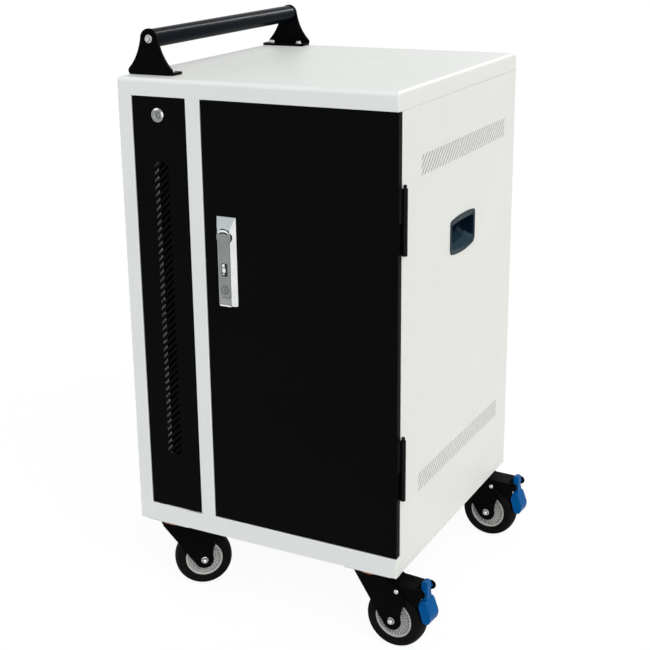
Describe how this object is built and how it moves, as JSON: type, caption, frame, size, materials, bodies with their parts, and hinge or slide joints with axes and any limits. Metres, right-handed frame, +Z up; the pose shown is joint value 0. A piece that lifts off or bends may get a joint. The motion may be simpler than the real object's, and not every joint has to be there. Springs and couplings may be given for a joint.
{
  "type": "laptop charging cart",
  "caption": "Upright sheet-metal charging cart on braked swivel casters, with a hinged lockable door over laptop racks, a vented power-bay panel and a push handle on top.",
  "frame": {"origin": "on the floor, under the middle of the whole cart", "axes": "+Z up, +X to the right seen from the front, front towards -Y"},
  "size_m": [0.5678, 0.5296, 1.0145],
  "materials": {
    "white_paint": "fine-textured white powder coat",
    "black_paint": "satin black powder coat",
    "black_steel": "semi-gloss black coat",
    "satin_silver": "satin nickel over die casting",
    "zinc": "bright zinc",
    "slate_plastic": "dark slate blue moulded plastic",
    "grey_plastic": "moulded grey",
    "dark_plastic": "moulded black",
    "rubber": "black rubber",
    "blue_plastic": "moulded blue"
  },
  "bodies": {
    "cabinet": {"base_pan": "white_paint", "front_frame": "white_paint", "left_side_panel": "white_paint", "right_side_panel": "white_paint", "back_panel": "white_paint", "top_cover": "white_paint", "partition_wall": "white_paint", "middle_shelf": "white_paint", "lower_divider_rack": "dark_plastic", "upper_divider_rack": "dark_plastic", "socket_strip_lower": "dark_plastic", "socket_strip_upper": "dark_plastic", "charge_controller": "dark_plastic", "mains_inlet": "dark_plastic", "left_cup_handle": "slate_plastic", "right_cup_handle": "slate_plastic", "handle_tube": "black_steel", "handle_bracket_front": "black_steel", "handle_bracket_rear": "black_steel", "hinge_frame_leaf_lower": "black_steel", "hinge_pin_lower": "black_steel", "hinge_frame_leaf_upper": "black_steel", "hinge_pin_upper": "black_steel", "caster_plate_front_left": "zinc", "caster_plate_front_right": "zinc", "caster_plate_rear_right": "zinc", "caster_plate_rear_left": "zinc"},
    "door": {"door_panel": "black_paint", "hinge_door_leaf_lower": "black_steel", "hinge_door_leaf_upper": "black_steel", "lock_base": "satin_silver"},
    "lock_spindle_body": {"lock_spindle": "satin_silver", "lock_tongue": "zinc"},
    "lock_lever_body": {"lock_lever": "satin_silver"},
    "lock_key_body": {"lock_cylinder": "zinc"},
    "lock_button_body": {"lock_button": "satin_silver"},
    "narrow_panel": {"vent_panel": "black_paint", "panel_lock_body": "satin_silver"},
    "panel_key_body": {"panel_lock_plug": "zinc", "panel_lock_tongue": "zinc"},
    "power_rocker": {"power_switch": "dark_plastic"},
    "caster_front_left": {"caster_fork_front_left": "black_steel", "caster_axle_front_left": "zinc"},
    "wheel_front_left": {"wheel_hub_front_left": "grey_plastic", "tyre_front_left": "rubber"},
    "caster_front_right": {"caster_fork_front_right": "black_steel", "caster_axle_front_right": "zinc"},
    "wheel_front_right": {"wheel_hub_front_right": "grey_plastic", "tyre_front_right": "rubber"},
    "brake_front_right": {"brake_pedal_front_right": "blue_plastic"},
    "caster_rear_right": {"caster_fork_rear_right": "black_steel", "caster_axle_rear_right": "zinc"},
    "wheel_rear_right": {"wheel_hub_rear_right": "grey_plastic", "tyre_rear_right": "rubber"},
    "brake_rear_right": {"brake_pedal_rear_right": "blue_plastic"},
    "caster_rear_left": {"caster_fork_rear_left": "black_steel", "caster_axle_rear_left": "zinc"},
    "wheel_rear_left": {"wheel_hub_rear_left": "grey_plastic", "tyre_rear_left": "rubber"}
  },
  "joints": [
    {"name": "door_swing", "type": "hinge", "parent": "cabinet", "child": "door", "pos_m": [0.22951, -0.23903, 0.5385], "axis": [0, 0, 1], "range_deg": [0, 180]},
    {"name": "lever_turn", "type": "hinge", "parent": "door", "child": "lock_spindle_body", "pos_m": [-0.07979, -0.25343, 0.6885], "axis": [0, 1, 0], "range_deg": [0, 90]},
    {"name": "lever_lift", "type": "hinge", "parent": "lock_spindle_body", "child": "lock_lever_body", "pos_m": [-0.07979, -0.26073, 0.6955], "axis": [-1, 0, 0], "range_deg": [0, 25]},
    {"name": "key_turn", "type": "hinge", "parent": "lock_lever_body", "child": "lock_key_body", "pos_m": [-0.07979, -0.26443, 0.5995], "axis": [0, 1, 0], "range_deg": [0, 90]},
    {"name": "button_press", "type": "slide", "parent": "door", "child": "lock_button_body", "axis": [0, 1, 0], "range_m": [0, 0.0025], "stiffness_N_per_m": 600},
    {"name": "panel_tilt", "type": "hinge", "parent": "cabinet", "child": "narrow_panel", "pos_m": [-0.20389, -0.25343, 0.1741], "axis": [1, 0, 0], "range_deg": [0, 60]},
    {"name": "panel_lock_turn", "type": "hinge", "parent": "narrow_panel", "child": "panel_key_body", "pos_m": [-0.20419, -0.25343, 0.879], "axis": [0, 1, 0], "range_deg": [0, 90]},
    {"name": "power_switch_rock", "type": "hinge", "parent": "cabinet", "child": "power_rocker", "pos_m": [-0.19069, 0.25757, 0.2105], "axis": [1, 0, 0], "range_deg": [0, 16]},
    {"name": "swivel_front_left", "type": "hinge", "parent": "cabinet", "child": "caster_front_left", "pos_m": [-0.22719, -0.21843, 0.12], "axis": [0, 0, 1], "continuous": true},
    {"name": "roll_front_left", "type": "hinge", "parent": "caster_front_left", "child": "wheel_front_left", "pos_m": [-0.19251, -0.19134, 0.0525], "axis": [-0.6157, 0.788, 0], "continuous": true},
    {"name": "swivel_front_right", "type": "hinge", "parent": "cabinet", "child": "caster_front_right", "pos_m": [0.16981, -0.21843, 0.12], "axis": [0, 0, 1], "continuous": true},
    {"name": "roll_front_right", "type": "hinge", "parent": "caster_front_right", "child": "wheel_front_right", "pos_m": [0.21368, -0.22189, 0.0525], "axis": [0.0785, 0.9969, 0], "continuous": true},
    {"name": "brake_front_right", "type": "hinge", "parent": "caster_front_right", "child": "brake_front_right", "pos_m": [0.26652, -0.22604, 0.1165], "axis": [-0.0785, -0.9969, 0], "range_deg": [0, 25]},
    {"name": "swivel_rear_right", "type": "hinge", "parent": "cabinet", "child": "caster_rear_right", "pos_m": [0.16981, 0.22857, 0.12], "axis": [0, 0, 1], "continuous": true},
    {"name": "roll_rear_right", "type": "hinge", "parent": "caster_rear_right", "child": "wheel_rear_right", "pos_m": [0.21377, 0.22665, 0.0525], "axis": [0.0436, 0.999, 0], "continuous": true},
    {"name": "brake_rear_right", "type": "hinge", "parent": "caster_rear_right", "child": "brake_rear_right", "pos_m": [0.26672, 0.22434, 0.1165], "axis": [-0.0436, -0.999, 0], "range_deg": [0, 25]},
    {"name": "swivel_rear_left", "type": "hinge", "parent": "cabinet", "child": "caster_rear_left", "pos_m": [-0.22719, 0.22857, 0.12], "axis": [0, 0, 1], "continuous": true},
    {"name": "roll_rear_left", "type": "hinge", "parent": "caster_rear_left", "child": "wheel_rear_left", "pos_m": [-0.18385, 0.23621, 0.0525], "axis": [-0.1736, 0.9848, 0], "continuous": true}
  ]
}
